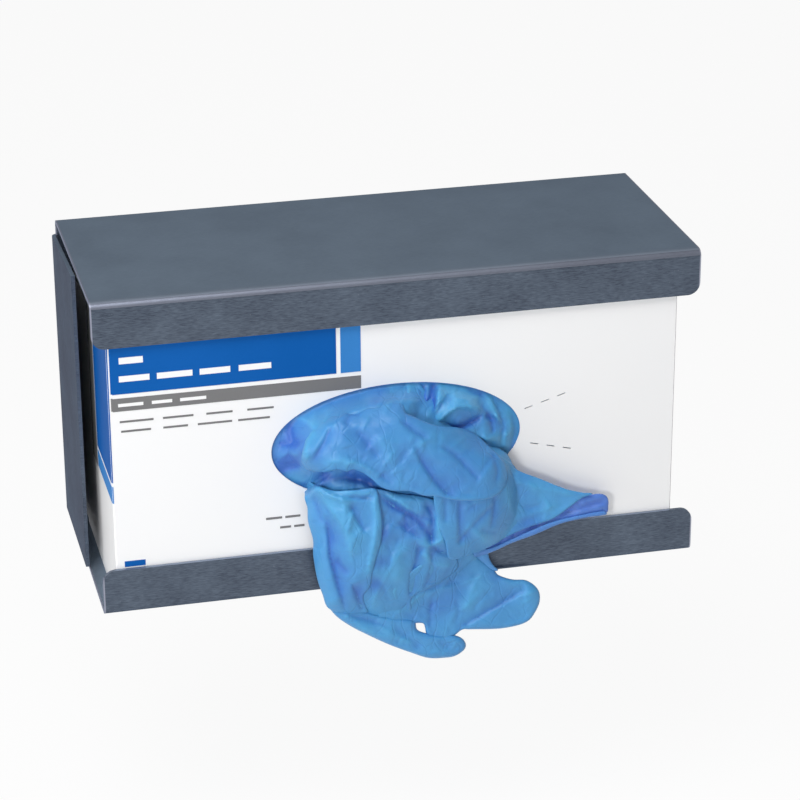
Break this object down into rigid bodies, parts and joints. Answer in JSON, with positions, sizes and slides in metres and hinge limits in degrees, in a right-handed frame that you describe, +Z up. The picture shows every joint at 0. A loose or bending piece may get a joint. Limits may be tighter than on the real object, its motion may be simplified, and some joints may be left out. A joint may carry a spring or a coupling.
{
  "type": "disposable glove dispenser",
  "caption": "Wall holder folded from one metal sheet, gripping a printed carton of gloves, with a glove hanging from its oval mouth.",
  "frame": {"origin": "middle of the back plate, on the side that lies against the wall", "axes": "+X along the wall to the right as seen from the front, +Y into the wall, +Z up; the gloves come out towards -Y"},
  "size_m": [0.2436, 0.1206, 0.1628],
  "materials": {
    "holder_metal": "brushed",
    "carton_board": "satin",
    "ink_dark_blue": "satin",
    "ink_light_blue": "satin",
    "ink_grey": "satin",
    "nitrile": "matte"
  },
  "bodies": {
    "root": {"holder": "holder_metal", "carton": "carton_board", "print_dark_blue": "ink_dark_blue", "print_light_blue": "ink_light_blue", "print_grey": "ink_grey", "glove_stack": "nitrile", "next_glove": "nitrile", "pulled_glove": "nitrile"}
  },
  "joints": []
}
